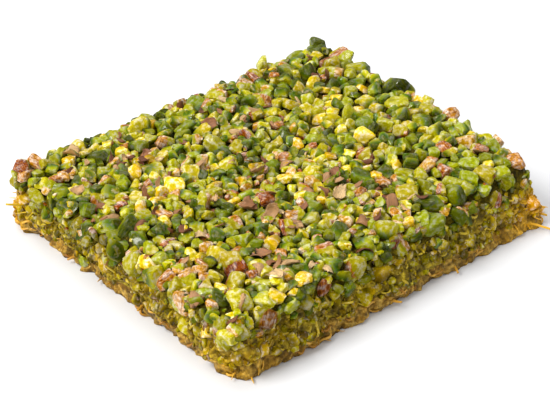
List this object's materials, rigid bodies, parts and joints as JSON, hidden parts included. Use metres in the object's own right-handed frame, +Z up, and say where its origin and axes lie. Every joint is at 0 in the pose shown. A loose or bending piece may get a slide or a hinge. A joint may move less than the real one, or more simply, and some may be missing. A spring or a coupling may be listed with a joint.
{
  "type": "baklava piece",
  "caption": "Flat square-cut piece of shredded-pastry baklava: toasted base, green pistachio filling and a thick topping of chopped pistachios.",
  "frame": {"origin": "middle of the overall box in plan, at the underside that rests on the table", "axes": "+X along the longer sides of the piece, +Y along the shorter sides, +Z up towards the chopped pistachios"},
  "size_m": [0.1092, 0.0973, 0.0209],
  "materials": {
    "shredded_pastry": "toasted pastry strands, amber brown and sticky with syrup",
    "pistachio_filling": "moist olive-green mass of pastry strands and ground pistachio",
    "pistachio": "chopped kernels, green and yellow inside with mauve skin, slightly glossy from syrup"
  },
  "bodies": {
    "root": {"kadayif_base": "shredded_pastry", "pistachio_filling": "pistachio_filling", "chopped_pistachios": "pistachio"}
  },
  "joints": []
}
